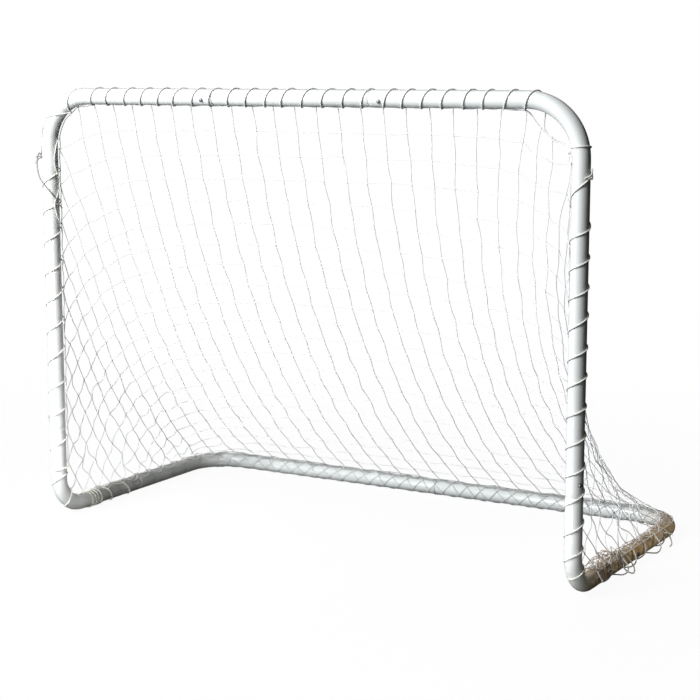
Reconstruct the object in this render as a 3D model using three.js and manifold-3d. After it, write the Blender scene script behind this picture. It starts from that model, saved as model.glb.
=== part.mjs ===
// A free-standing goal: a frame of seven steel tubes that plug together and lock with
// sprung snap buttons, a knotted net, and the cords that lace the net to the tubes.
// Millimetres, +X to the right, +Y to the rear, +Z up. The goal's mouth faces -Y.
import * as THREE from "three";
import { mergeVertices } from "three/addons/utils/BufferGeometryUtils.js";
import Module from "manifold-3d";

const wasm = await Module();
wasm.setup();
const { degToRad, lerp } = THREE.MathUtils;

// Frame, over the tubes
const WIDTH = 1200;
const DEPTH = 600;
const HEIGHT = 900; // from the ground to the top of the crossbar
const TUBE_R = 16;
const WALL = 1.2;
const TUBE_SIDES = 12;
const TOP_BEND_R = 100;
const FOOT_BEND_R = 68;
const REAR_BEND_R = 90;
const BEND_STEPS = 6;

// Tube joints: a swaged spigot slides into the plain end of the next tube
const SPIGOT_R = 14.4;
const SPIGOT_LENGTH = 45;
const SWAGE_ROOT = 8; // how far the swaged end's thick root reaches back into its own tube
const JOINT_GAP = 0.4;
const CROSSBAR_JOINT_X = 195;
const POST_JOINT_Z = 216;
const RAIL_JOINT_Y = 300;

// Snap buttons, measured out from the tube's axis
const BUTTON_R = 3.5;
const BUTTON_HOLE_R = 4.1;
const BUTTON_TOP = 19.2;
const BUTTON_SHOULDER = 17.4;
const FLANGE_R = 4.8;
const FLANGE_TOP = 11.4;
const FLANGE_BOTTOM = 10.3;
const CROSSBAR_BUTTON_TILT = degToRad(20); // below straight ahead
const POST_BUTTON_TURN = degToRad(30); // from straight outward towards the front
const BUTTON_SIDES = 12;
const CROWN_STEPS = 3;

// Leaf spring under each button
const CLIP_WIDTH = 8;
const CLIP_GAUGE = 0.8;
const CLIP_UPPER = 9.5;
const CLIP_LOWER = -11.4;
const CLIP_FLAT = 7;
const CLIP_FOLD = 32; // from the button to the middle of the fold
const CLIP_FOLD_R = 2;
const CLIP_FOLD_STEPS = 4;

// Lacing cord
const CORD_R = 1.4;
const CORD_SIDES = 4;
const WRAP_R = 18.5; // from the tube's axis to the cord's axis
const WRAP_STEPS = 10; // per turn
const KNOT_R = 3;
const KNOT_AT = 19.7; // from the tube's axis to the knot's middle
const KNOT_LEAD = 0.05; // how far past the cord's end the knot sits, in turns
const GROUND_CLEARANCE = WRAP_R + CORD_R * Math.cos(Math.PI / CORD_SIDES) - TUBE_R;

// Net
const NET_THICKNESS = 2;
const NET_STANDOFF = 21.8; // from a tube's axis to the net's edge, just outside the lacing
const ARCH_SIDE = degToRad(35); // the net's edge lies inside the arch and behind it
const GROUND_SIDE = degToRad(38); // and on top of the ground tubes, towards the outside
const BACK_COLUMNS = 12;
const WING_COLUMNS = 6; // the net's cells down a post, and as many along a rail
const NET_ROWS = 2 * WING_COLUMNS;
const NET_TOP_CORNER = 0.75; // how far round the top bend the net's corner column starts
const NET_REAR_CORNER = 0.5; // and how far round the rear bend it ends
const NET_POST_TOP = 790;
const NET_POST_BOTTOM = 120;
const NET_RAIL_FRONT = 94; // behind the post's axis
const NET_SAG = 94; // how far the middle of the back hangs in from a straight line
const PULL_ACROSS = 0.1; // share of a knot's place that each neighbour along its row has
const PULL_DOWN = 0.4; // and each neighbour along its column
const RELAX_ROUNDS = 900;
const PANEL_GAP = 2.5;

const POST_X = WIDTH / 2 - TUBE_R;
const FRONT_Y = TUBE_R;
const REAR_Y = DEPTH - TUBE_R;
const GROUND_Z = TUBE_R + GROUND_CLEARANCE;
const TOP_Z = HEIGHT - TUBE_R;

const v = (x, y, z) => new THREE.Vector3(x, y, z);
const steel = new THREE.MeshStandardMaterial({ color: 0xf2f3f1, roughness: 0.32, metalness: 0.1 });
const zinc = new THREE.MeshStandardMaterial({ color: 0x5d5f62, roughness: 0.35, metalness: 0.9 });
const springSteel = new THREE.MeshStandardMaterial({ color: 0x8b8f94, roughness: 0.3, metalness: 1 });
const twine = new THREE.MeshStandardMaterial({ color: 0xe9e8e2, roughness: 0.8, metalness: 0 });
const cord = new THREE.MeshStandardMaterial({ color: 0xf4f2ea, roughness: 0.75, metalness: 0 });

const frame = new THREE.Group();

function addPart(name, geometry, material) {
  const mesh = new THREE.Mesh(geometry, material);
  mesh.name = name;
  frame.add(mesh);
}

// A path through fixed points, so that a straight run costs one step and a bend gets several.
class Route extends THREE.Curve {
  constructor(points) {
    super();
    this.points = points;
    this.distances = [0];
    for (let i = 1; i < points.length; i++) {
      this.distances.push(this.distances[i - 1] + points[i].distanceTo(points[i - 1]));
    }
  }
  getSpacedPoints() {
    return this.points;
  }
  getTangentAt(u) {
    const i = Math.round(u * (this.points.length - 1));
    const before = this.points[Math.max(i - 1, 0)];
    const after = this.points[Math.min(i + 1, this.points.length - 1)];
    const here = this.points[i];
    const arriving = here.clone().sub(before).normalize();
    const leaving = after.clone().sub(here).normalize();
    return arriving.add(leaving).normalize();
  }
  // The point and direction at a distance along the path.
  at(distance) {
    const last = this.points.length - 2;
    const found = this.distances.findIndex((d) => d > distance) - 1;
    const i = found < 0 ? last : Math.min(found, last);
    const tangent = this.points[i + 1].clone().sub(this.points[i]).normalize();
    const point = this.points[i].clone().addScaledVector(tangent, distance - this.distances[i]);
    return { point, tangent };
  }
}

// Straight runs between the corners, with a right-angled bend of the given radius at each inner one.
function bentRoute(corners, radius) {
  const points = [corners[0]];
  for (let i = 1; i < corners.length - 1; i++) {
    const arriving = corners[i].clone().sub(corners[i - 1]).normalize();
    const leaving = corners[i + 1].clone().sub(corners[i]).normalize();
    const centre = corners[i].clone().addScaledVector(arriving, -radius).addScaledVector(leaving, radius);
    for (let step = 0; step <= BEND_STEPS; step++) {
      const turn = (Math.PI / 2) * (step / BEND_STEPS);
      const point = centre.clone().addScaledVector(leaving, -radius * Math.cos(turn));
      points.push(point.addScaledVector(arriving, radius * Math.sin(turn)));
    }
  }
  points.push(corners[corners.length - 1]);
  return new Route(points);
}

// A polygon with a flat side facing each axis.
function ring(radius, sides) {
  return Array.from({ length: sides }, (_, i) => {
    const angle = ((i + 0.5) / sides) * 2 * Math.PI;
    return new THREE.Vector2(radius * Math.cos(angle), radius * Math.sin(angle));
  });
}

function sweep(shape, route) {
  const steps = route.points.length - 1;
  return new THREE.ExtrudeGeometry(shape, { extrudePath: route, steps });
}

function toSolid(geometry) {
  const bare = new THREE.BufferGeometry().setAttribute("position", geometry.getAttribute("position"));
  if (geometry.index) bare.setIndex(geometry.index);
  const merged = mergeVertices(bare, 1e-3);
  const vertProperties = merged.getAttribute("position").array;
  const triVerts = new Uint32Array(merged.index.array);
  return new wasm.Manifold(new wasm.Mesh({ numProp: 3, vertProperties, triVerts }));
}

function toGeometry(solid) {
  const mesh = solid.getMesh();
  const geometry = new THREE.BufferGeometry();
  geometry.setAttribute("position", new THREE.BufferAttribute(mesh.vertProperties, 3));
  geometry.setIndex(new THREE.BufferAttribute(mesh.triVerts, 1));
  geometry.computeVertexNormals();
  return geometry;
}

// Turns geometry made along +Y to lie along a direction, and moves it to a place.
function aim(geometry, place, direction) {
  const turn = new THREE.Quaternion().setFromUnitVectors(v(0, 1, 0), direction);
  return geometry.applyQuaternion(turn).translate(place.x, place.y, place.z);
}

function lathe(profile, sides) {
  const points = profile.map(([r, y]) => new THREE.Vector2(r, y));
  return new THREE.LatheGeometry(points, sides, Math.PI / sides);
}

// The swaged end of a tube whose plain part stops at place. It points along direction.
function swagedEnd(place, direction) {
  const inner = SPIGOT_R - WALL;
  const root = TUBE_R - WALL / 2;
  const lip = -JOINT_GAP;
  const profile = [
    [inner, -SWAGE_ROOT],
    [root, -SWAGE_ROOT],
    [root, lip],
    [SPIGOT_R, lip],
    [SPIGOT_R, SPIGOT_LENGTH],
    [inner, SPIGOT_LENGTH],
    [inner, -SWAGE_ROOT],
  ];
  return aim(lathe(profile, TUBE_SIDES), place, direction);
}

function buttonHole(place, direction) {
  const drill = new THREE.CylinderGeometry(BUTTON_HOLE_R, BUTTON_HOLE_R, TUBE_R, BUTTON_SIDES);
  return aim(drill.translate(0, TUBE_R, 0), place, direction);
}

// Each joint has the place of its button on the tube's axis, the way its spigot points along
// that axis, and the way its button faces.
const ahead = v(0, -Math.cos(CROSSBAR_BUTTON_TILT), -Math.sin(CROSSBAR_BUTTON_TILT));
const outRight = v(Math.cos(POST_BUTTON_TURN), -Math.sin(POST_BUTTON_TURN), 0);
const outLeft = v(-outRight.x, outRight.y, 0);
const joints = {
  crossbar_left: { place: v(-CROSSBAR_JOINT_X, FRONT_Y, TOP_Z), spigot: v(-1, 0, 0), out: ahead },
  crossbar_right: { place: v(CROSSBAR_JOINT_X, FRONT_Y, TOP_Z), spigot: v(1, 0, 0), out: ahead },
  post_left: { place: v(-POST_X, FRONT_Y, POST_JOINT_Z), spigot: v(0, 0, 1), out: outLeft },
  post_right: { place: v(POST_X, FRONT_Y, POST_JOINT_Z), spigot: v(0, 0, 1), out: outRight },
  rail_left: { place: v(-POST_X, RAIL_JOINT_Y, GROUND_Z), spigot: v(0, 1, 0), out: v(-1, 0, 0) },
  rail_right: { place: v(POST_X, RAIL_JOINT_Y, GROUND_Z), spigot: v(0, 1, 0), out: v(1, 0, 0) },
  rear: { place: v(0, REAR_Y, GROUND_Z), spigot: v(-1, 0, 0), out: v(0, 1, 0) },
};

// Where a swaged tube's plain part stops, and where the tube that receives it begins.
function shoulder(joint) {
  return joint.place.clone().addScaledVector(joint.spigot, -SPIGOT_LENGTH / 2);
}
function socket(joint) {
  return shoulder(joint).addScaledVector(joint.spigot, JOINT_GAP);
}

// A crowned stud on a flange that stops it inside the tube, lathed about the line it travels on.
function snapButton(joint) {
  const crown = [];
  for (let step = 0; step <= CROWN_STEPS; step++) {
    const angle = (Math.PI / 2) * (step / CROWN_STEPS);
    const height = (BUTTON_TOP - BUTTON_SHOULDER) * Math.cos(angle);
    crown.push([BUTTON_R * Math.sin(angle), BUTTON_SHOULDER + height]);
  }
  crown[0][0] = 0;
  const flange = [
    [BUTTON_R, FLANGE_TOP],
    [FLANGE_R, FLANGE_TOP],
    [FLANGE_R, FLANGE_BOTTOM],
    [0, FLANGE_BOTTOM],
  ];
  return aim(lathe([...crown, ...flange].reverse(), BUTTON_SIDES), joint.place, joint.out);
}

// A leaf spring bent into a V: one leg carries the button and the other bears on the far wall.
function leafClip(joint) {
  const fold = v(CLIP_FOLD, (CLIP_UPPER + CLIP_LOWER) / 2, 0);
  const upperSlope = Math.atan2(CLIP_UPPER - fold.y, CLIP_FOLD - CLIP_FLAT);
  const middle = [v(-CLIP_FLAT, CLIP_UPPER, 0), v(CLIP_FLAT, CLIP_UPPER, 0)];
  for (let step = 0; step <= CLIP_FOLD_STEPS; step++) {
    const angle = (Math.PI / 2 - upperSlope) * (1 - (2 * step) / CLIP_FOLD_STEPS);
    const spoke = v(Math.cos(angle), Math.sin(angle), 0);
    middle.push(fold.clone().addScaledVector(spoke, CLIP_FOLD_R));
  }
  middle.push(v(CLIP_FLAT, CLIP_LOWER, 0), v(-CLIP_FLAT, CLIP_LOWER, 0));
  const route = new Route(middle);
  const sides = [[], []];
  middle.forEach((point, i) => {
    const half = route.getTangentAt(i / (middle.length - 1)).multiplyScalar(CLIP_GAUGE / 2);
    sides[0].push(new THREE.Vector2(point.x - half.y, point.y + half.x));
    sides[1].push(new THREE.Vector2(point.x + half.y, point.y - half.x));
  });
  const outline = new THREE.Shape([...sides[0], ...sides[1].reverse()]);
  const leaf = new THREE.ExtrudeGeometry(outline, { depth: CLIP_WIDTH, bevelEnabled: false });
  leaf.translate(0, 0, -CLIP_WIDTH / 2);
  const back = joint.spigot.clone().negate();
  const across = back.clone().cross(joint.out);
  leaf.applyMatrix4(new THREE.Matrix4().makeBasis(back, joint.out, across));
  return leaf.translate(joint.place.x, joint.place.y, joint.place.z);
}

// A tube through its corners, with a swaged end at each listed joint and a hole for every button.
function makeTube(name, corners, bendRadius, swagedJoints, buttonJoints) {
  const section = new THREE.Shape(ring(TUBE_R, TUBE_SIDES));
  section.holes.push(new THREE.Path(ring(TUBE_R - WALL, TUBE_SIDES)));
  let solid = toSolid(sweep(section, bentRoute(corners, bendRadius)));
  for (const joint of swagedJoints) {
    solid = solid.add(toSolid(swagedEnd(shoulder(joint), joint.spigot)));
  }
  for (const joint of buttonJoints) {
    solid = solid.subtract(toSolid(buttonHole(joint.place, joint.out)));
  }
  addPart(name, toGeometry(solid), steel);
}

const { crossbar_left: crossbarLeft, crossbar_right: crossbarRight, rear } = joints;
const crossbarEnds = [shoulder(crossbarLeft), shoulder(crossbarRight)];
const crossbarJoints = [crossbarLeft, crossbarRight];
makeTube("crossbar_middle_tube", crossbarEnds, TOP_BEND_R, crossbarJoints, crossbarJoints);

for (const [side, sign] of [["left", -1], ["right", 1]]) {
  const crossbar = joints["crossbar_" + side];
  const post = joints["post_" + side];
  const rail = joints["rail_" + side];
  const topCorner = v(sign * POST_X, FRONT_Y, TOP_Z);
  const foot = v(sign * POST_X, FRONT_Y, GROUND_Z);
  const rearCorner = v(sign * POST_X, REAR_Y, GROUND_Z);
  const arm = [socket(crossbar), topCorner, socket(post)];
  const footBend = [shoulder(post), foot, shoulder(rail)];
  const quarter = [socket(rail), rearCorner, side === "right" ? shoulder(rear) : socket(rear)];
  const swagedRear = side === "right" ? [rear] : [];
  makeTube("upper_corner_tube_" + side, arm, TOP_BEND_R, [], [crossbar, post]);
  makeTube("foot_bend_tube_" + side, footBend, FOOT_BEND_R, [post, rail], [post, rail]);
  makeTube("rear_corner_tube_" + side, quarter, REAR_BEND_R, swagedRear, [rail, rear]);
}

for (const [name, joint] of Object.entries(joints)) {
  addPart("snap_button_" + name, snapButton(joint), zinc);
  addPart("leaf_clip_" + name, leafClip(joint), springSteel);
}

// The arch that frames the mouth and the loop of tube on the ground, as the axes of their tubes.
const arch = bentRoute(
  [v(-POST_X, FRONT_Y, 0), v(-POST_X, FRONT_Y, TOP_Z), v(POST_X, FRONT_Y, TOP_Z), v(POST_X, FRONT_Y, 0)],
  TOP_BEND_R,
);
const ground = bentRoute(
  [
    v(-POST_X, FRONT_Y, GROUND_Z),
    v(-POST_X, REAR_Y, GROUND_Z),
    v(POST_X, REAR_Y, GROUND_Z),
    v(POST_X, FRONT_Y, GROUND_Z),
  ],
  REAR_BEND_R,
);

const archLength = arch.distances.at(-1);
const groundLength = ground.distances.at(-1);

function onArch(distance) {
  const { point, tangent } = arch.at(distance);
  const inward = v(0, 1, 0).cross(tangent);
  point.addScaledVector(inward, NET_STANDOFF * Math.cos(ARCH_SIDE));
  return point.add(v(0, NET_STANDOFF * Math.sin(ARCH_SIDE), 0));
}
function onGround(distance) {
  const { point, tangent } = ground.at(distance);
  const outward = v(0, 0, 1).cross(tangent);
  point.addScaledVector(outward, NET_STANDOFF * Math.sin(GROUND_SIDE));
  return point.add(v(0, 0, NET_STANDOFF * Math.cos(GROUND_SIDE)));
}

// The net is one sheet of square mesh with a lattice of columns and rows. The columns of its back
// hang from the crossbar to the rear bar. Each wing is cut on the diagonal, so that every column
// further out starts a row lower on the post and ends a row higher on the rail, and the last is
// one knot in the bend of the foot.
const wingOf = (column) => Math.max(-column, column - BACK_COLUMNS, 0);
const cell = (column, row) => column + "," + row;

function heldKnot(column, row) {
  const wing = wingOf(column);
  const fromLeft = column < BACK_COLUMNS / 2;
  const side = (distance, length) => (fromLeft ? distance : length - distance);
  const archCorner = TOP_Z - TOP_BEND_R + NET_TOP_CORNER * (Math.PI / 2) * TOP_BEND_R;
  const railLength = REAR_Y - REAR_BEND_R - FRONT_Y;
  const groundCorner = railLength + NET_REAR_CORNER * (Math.PI / 2) * REAR_BEND_R;
  const share = column / BACK_COLUMNS;
  if (wing === WING_COLUMNS) {
    const reach = FOOT_BEND_R - (FOOT_BEND_R - NET_STANDOFF) * Math.SQRT1_2;
    return v(fromLeft ? -POST_X : POST_X, FRONT_Y + reach, GROUND_Z + reach);
  }
  if (row === wing && wing > 0) {
    const height = lerp(NET_POST_TOP, NET_POST_BOTTOM, (wing - 1) / (WING_COLUMNS - 2));
    return onArch(side(height, archLength));
  }
  if (row === NET_ROWS - wing && wing > 0) {
    const distance = lerp(groundCorner, NET_RAIL_FRONT, wing / (WING_COLUMNS - 1));
    return onGround(side(distance, groundLength));
  }
  if (row === 0) return onArch(lerp(archCorner, archLength - archCorner, share));
  if (row === NET_ROWS) return onGround(lerp(groundCorner, groundLength - groundCorner, share));
  return null;
}

// Every free knot settles between its four neighbours, moved a little by the net's weight. The
// columns carry more of the weight than the rows do.
function settledNet() {
  const knots = new Map();
  const free = [];
  const top = v(0, FRONT_Y, TOP_Z);
  const bottom = v(0, REAR_Y, GROUND_Z);
  for (let column = -WING_COLUMNS; column <= BACK_COLUMNS + WING_COLUMNS; column++) {
    const wing = wingOf(column);
    for (let row = wing; row <= NET_ROWS - wing; row++) {
      const held = heldKnot(column, row);
      knots.set(cell(column, row), held ?? top.clone().lerp(bottom, row / NET_ROWS));
      if (!held) free.push([column, row]);
    }
  }
  const load = v(0, GROUND_Z - TOP_Z, FRONT_Y - REAR_Y);
  load.setLength((8 * PULL_DOWN * NET_SAG) / NET_ROWS ** 2);
  for (let round = 0; round < RELAX_ROUNDS; round++) {
    for (const [column, row] of free) {
      const knot = knots.get(cell(column, row)).set(0, 0, 0);
      for (const step of [-1, 1]) {
        knot.addScaledVector(knots.get(cell(column + step, row)), PULL_ACROSS);
        knot.addScaledVector(knots.get(cell(column, row + step)), PULL_DOWN);
      }
      knot.add(load);
    }
  }
  return knots;
}

// A closed skin of even thickness over triangles that share their corners.
function thicken(points, triangles, thickness) {
  const normals = points.map(() => v(0, 0, 0));
  const edges = new Map();
  for (const [a, b, c] of triangles) {
    const normal = points[b].clone().sub(points[a]).cross(points[c].clone().sub(points[a]));
    for (const corner of [a, b, c]) normals[corner].add(normal);
    for (const [from, to] of [[a, b], [b, c], [c, a]]) {
      if (!edges.delete(to + "," + from)) edges.set(from + "," + to, [from, to]);
    }
  }
  for (const normal of normals) normal.setLength(thickness / 2);
  const faces = points.map((point, i) => point.clone().add(normals[i]));
  const backs = points.map((point, i) => point.clone().sub(normals[i]));
  const indices = [];
  for (const [a, b, c] of triangles) {
    indices.push(a, b, c, c + points.length, b + points.length, a + points.length);
  }
  for (const [from, to] of edges.values()) {
    indices.push(from, from + points.length, to, to, from + points.length, to + points.length);
  }
  const geometry = new THREE.BufferGeometry().setFromPoints([...faces, ...backs]);
  geometry.setIndex(indices);
  geometry.computeVertexNormals();
  return geometry;
}

// The part of the net between two columns. Its two corner columns stop a little short of the
// neighbouring panel's.
function makePanel(name, knots, firstColumn, lastColumn) {
  const index = new Map();
  const points = [];
  for (let column = firstColumn; column <= lastColumn; column++) {
    const wing = wingOf(column);
    for (let row = wing; row <= NET_ROWS - wing; row++) {
      const point = knots.get(cell(column, row)).clone();
      const inner = column === firstColumn ? 1 : column === lastColumn ? -1 : 0;
      const neighbour = knots.get(cell(column + inner, row));
      if (wing === 0 && inner !== 0) {
        const away = neighbour ?? knots.get(cell(column + inner, row === 0 ? 1 : NET_ROWS - 1));
        point.addScaledVector(away.clone().sub(point).normalize(), PANEL_GAP);
      }
      index.set(cell(column, row), points.length);
      points.push(point);
    }
  }
  const triangles = [];
  const corner = (column, row) => index.get(cell(column, row));
  for (let column = firstColumn; column < lastColumn; column++) {
    for (let row = 0; row < NET_ROWS; row++) {
      const corners = [
        corner(column, row),
        corner(column, row + 1),
        corner(column + 1, row + 1),
        corner(column + 1, row),
      ].filter((i) => i !== undefined);
      if (corners.length >= 3) triangles.push(corners.slice(0, 3));
      if (corners.length === 4) triangles.push([corners[0], corners[2], corners[3]]);
    }
  }
  addPart(name, thicken(points, triangles, NET_THICKNESS), twine);
}

const knots = settledNet();
makePanel("net_wing_left", knots, -WING_COLUMNS, 0);
makePanel("net_back", knots, 0, BACK_COLUMNS);
makePanel("net_wing_right", knots, BACK_COLUMNS, BACK_COLUMNS + WING_COLUMNS);

// A point on a cord that has made so many turns round a tube, at a distance along the tube.
function wrapPoint(route, side, distance, turns, radius) {
  const { point, tangent } = route.at(distance);
  const angle = turns * 2 * Math.PI;
  point.addScaledVector(side, radius * Math.sin(angle));
  return point.addScaledVector(side.clone().cross(tangent), radius * Math.cos(angle));
}

// windings lists distances along the tube with the turns made by then, and the cord runs evenly
// from each to the next. It ends in a knot.
function makeLacing(name, route, side, windings) {
  const points = [];
  for (let i = 1; i < windings.length; i++) {
    const [fromDistance, fromTurns] = windings[i - 1];
    const [toDistance, toTurns] = windings[i];
    const steps = Math.round(Math.abs(toTurns - fromTurns) * WRAP_STEPS);
    for (let step = i === 1 ? 0 : 1; step <= steps; step++) {
      const distance = lerp(fromDistance, toDistance, step / steps);
      const turns = lerp(fromTurns, toTurns, step / steps);
      points.push(wrapPoint(route, side, distance, turns, WRAP_R));
    }
  }
  addPart(name, sweep(new THREE.Shape(ring(CORD_R, CORD_SIDES)), new Route(points)), cord);
  const [lastDistance, lastTurns] = windings.at(-1);
  const [distanceBefore, turnsBefore] = windings.at(-2);
  const turning = Math.sign(lastTurns - turnsBefore);
  const pitch = (lastDistance - distanceBefore) / Math.abs(lastTurns - turnsBefore);
  const knotDistance = lastDistance + KNOT_LEAD * pitch;
  const place = wrapPoint(route, side, knotDistance, lastTurns + KNOT_LEAD * turning, KNOT_AT);
  const knot = new THREE.IcosahedronGeometry(KNOT_R, 1).translate(place.x, place.y, place.z);
  addPart(name.replace("lacing", "knot"), knot, cord);
}

const rearward = v(0, 1, 0);
const upward = v(0, 0, 1);
makeLacing("left_post_lacing", arch, rearward, [[108, 0], [757, 10.5]]);
makeLacing("crossbar_lacing", arch, rearward, [
  [812, -1],
  [941, -2.75],
  [archLength - 941, -26.75],
  [archLength - 800, -29],
]);
makeLacing("right_post_lacing", arch, rearward, [[archLength - 745, 0], [archLength - 118, 12]]);
makeLacing("left_rail_lacing", ground, upward, [[84, 0], [124, 4], [244, 6]]);
makeLacing("right_rail_lacing", ground, upward, [[groundLength - 84, 0], [groundLength - 430, 6]]);

// The goal stands on the ground with the middle of its box at the origin.
const box = new THREE.Box3().setFromObject(frame);
const middle = box.getCenter(v(0, 0, 0));
frame.position.set(-middle.x, -middle.y, -box.min.z);
const goal = new THREE.Group();
goal.add(frame);

export default goal;
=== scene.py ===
"""The looks of a free-standing street hockey goal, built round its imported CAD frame.

Metres, +X to the right, +Y to the rear, +Z up. The mouth faces -Y.
"""

import math
import random

import bpy
import numpy as np
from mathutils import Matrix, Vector


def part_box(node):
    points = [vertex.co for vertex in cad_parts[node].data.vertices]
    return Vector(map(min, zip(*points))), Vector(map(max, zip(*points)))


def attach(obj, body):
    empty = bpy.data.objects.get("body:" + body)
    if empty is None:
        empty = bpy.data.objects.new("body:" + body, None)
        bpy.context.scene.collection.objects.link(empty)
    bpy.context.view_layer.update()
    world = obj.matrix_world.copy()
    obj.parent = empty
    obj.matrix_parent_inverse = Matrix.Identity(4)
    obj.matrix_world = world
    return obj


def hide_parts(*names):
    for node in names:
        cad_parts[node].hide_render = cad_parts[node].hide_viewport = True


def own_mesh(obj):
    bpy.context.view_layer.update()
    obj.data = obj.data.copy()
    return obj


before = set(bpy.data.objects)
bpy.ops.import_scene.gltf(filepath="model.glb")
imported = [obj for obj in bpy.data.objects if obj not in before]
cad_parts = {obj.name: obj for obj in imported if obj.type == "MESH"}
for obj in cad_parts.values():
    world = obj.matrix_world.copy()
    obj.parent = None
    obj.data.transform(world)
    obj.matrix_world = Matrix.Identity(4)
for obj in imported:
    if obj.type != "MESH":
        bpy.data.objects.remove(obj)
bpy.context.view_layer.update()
chance = random.Random(7)

# ---- Sizes ----

MM = 0.001

TUBE_R = 16 * MM
WALL = 1.2 * MM
TUBE_SIDES = 56
TOP_BEND_R = 100 * MM
FOOT_BEND_R = 68 * MM
REAR_BEND_R = 90 * MM
BEND_STEPS = 24

SPIGOT_R = 14.4 * MM
SPIGOT_LENGTH = 45 * MM
SHOULDER_LENGTH = 3 * MM
JOINT_GAP = 0.4 * MM
CROSSBAR_JOINT_X = 195 * MM

BUTTON_R = 3.5 * MM
BUTTON_TOP = 19.2 * MM
BUTTON_SHOULDER = 17.4 * MM
BUTTON_HOLE_R = 4.1 * MM
COUNTERSINK = 0.65 * MM
DRILL_START = 5 * MM
DRILL_END = 22 * MM
FLANGE_R = 4.8 * MM
FLANGE_TOP = 11.4 * MM
FLANGE_BOTTOM = 10.3 * MM
CROSSBAR_BUTTON_TILT = math.radians(20)
POST_BUTTON_TURN = math.radians(30)

CORD_R = 1.4 * MM
TWINE_R = 0.85 * MM

# A rope's plies: how far each lies from the rope's axis and its radius, as shares of the rope's radius.
PLY_OFFSET = 0.5
PLY_RADIUS = 0.54

CLIP_WIDTH = 8 * MM
CLIP_GAUGE = 0.8 * MM
CLIP_EDGE = 0.15 * MM
CLIP_FLAT = 7 * MM
CLIP_UPPER = 9.5 * MM
CLIP_LOWER = -11.4 * MM
CLIP_FOLD = 32 * MM
CLIP_FOLD_R = 2 * MM
CLIP_BEND = 2.5 * MM

# ---- Places from the frame ----

crossbar_low, crossbar_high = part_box("crossbar_middle_tube")
FACET = (crossbar_high.z - crossbar_low.z) / 2
FRONT_Y = (crossbar_high.y + crossbar_low.y) / 2
TOP_Z = crossbar_high.z - FACET
POST_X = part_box("upper_corner_tube_right")[1].x - FACET
REAR_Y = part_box("rear_corner_tube_right")[1].y - FACET
GROUND_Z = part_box("rear_corner_tube_right")[0].z + FACET


def button_place(name):
    low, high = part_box("snap_button_" + name)
    return (low + high) / 2


POST_JOINT_Z = button_place("post_left").z
RAIL_JOINT_Y = button_place("rail_left").y
REAR_JOINT_X = button_place("rear").x


# ---- Camera ----

CAMERA_PLACE = (1.70, -2.99, 0.925)
CAMERA_AIM = (-0.002, -0.062, 0.375)
LENS_MM = 87


def aimed(name, data, place, aim):
    """A camera or a lamp at its place, turned towards its aim."""
    made = bpy.data.objects.new(name, data)
    bpy.context.scene.collection.objects.link(made)
    made.location = place
    made.rotation_mode = "QUATERNION"
    made.rotation_quaternion = (Vector(aim) - Vector(place)).to_track_quat("-Z", "Y")
    return made


camera = aimed("camera", bpy.data.cameras.new("camera"), CAMERA_PLACE, CAMERA_AIM)
camera.data.lens = LENS_MM
bpy.context.scene.camera = camera


# ---- Routes ----

def unit(vector):
    return vector / np.linalg.norm(vector)


def blend(a, b, share):
    return a + (b - a) * share


class Route:
    """Straight runs between corners, with a round bend of one radius at each inner corner.

    The side is a direction that crosses every run, and angles round the route are measured with it."""

    def __init__(self, corners, radius, side=None):
        corners = [np.array(corner, float) for corner in corners]
        self.side = side
        self.runs = []
        self.length = 0.0
        self.bends = []
        here = corners[0]
        for i in range(1, len(corners) - 1):
            arriving = unit(corners[i] - corners[i - 1])
            leaving = unit(corners[i + 1] - corners[i])
            start = corners[i] - arriving * radius
            self.add_run(here, start)
            self.bends.append((self.length, self.length + radius * math.pi / 2))
            self.runs.append(("bend", self.length, start, arriving, leaving, radius))
            self.length += radius * math.pi / 2
            here = corners[i] + leaving * radius
        self.add_run(here, corners[-1])

    def add_run(self, start, end):
        self.runs.append(("straight", self.length, start, unit(end - start), None, None))
        self.length += np.linalg.norm(end - start)

    def at(self, distance):
        """The point on the route and its direction there. It goes on straight past both ends."""
        reached = [run for run in self.runs if run[1] <= max(distance, 0)]
        kind, begun, start, arriving, leaving, radius = reached[-1]
        along = distance - begun
        if kind == "straight":
            return start + arriving * along, arriving
        turn = along / radius
        spoke = leaving * (1 - math.cos(turn)) + arriving * math.sin(turn)
        return start + spoke * radius, arriving * math.cos(turn) + leaving * math.sin(turn)

    def wrapped(self, distance, angle, radius):
        """A point off the route. The angle turns from side x direction towards the side."""
        axis, tangent = self.at(distance)
        spoke = math.sin(angle) * self.side + math.cos(angle) * np.cross(self.side, tangent)
        return axis + radius * spoke


def point(x, y, z):
    return np.array((x, y, z), float)


RIGHTWARD = point(1, 0, 0)
REARWARD = point(0, 1, 0)
UPWARD = point(0, 0, 1)

# The arch is the goal's mouth from foot to foot. The ground route is the rails and the rear bar.
arch_corners = ((-POST_X, 0), (-POST_X, TOP_Z), (POST_X, TOP_Z), (POST_X, 0))
arch = Route([point(x, FRONT_Y, z) for x, z in arch_corners], TOP_BEND_R, REARWARD)
ground_corners = ((-POST_X, FRONT_Y), (-POST_X, REAR_Y), (POST_X, REAR_Y), (POST_X, FRONT_Y))
ground = Route([point(x, y, GROUND_Z) for x, y in ground_corners], REAR_BEND_R, UPWARD)
SIDES = (("left", -1), ("right", 1))


# ---- Mesh building ----

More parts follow.
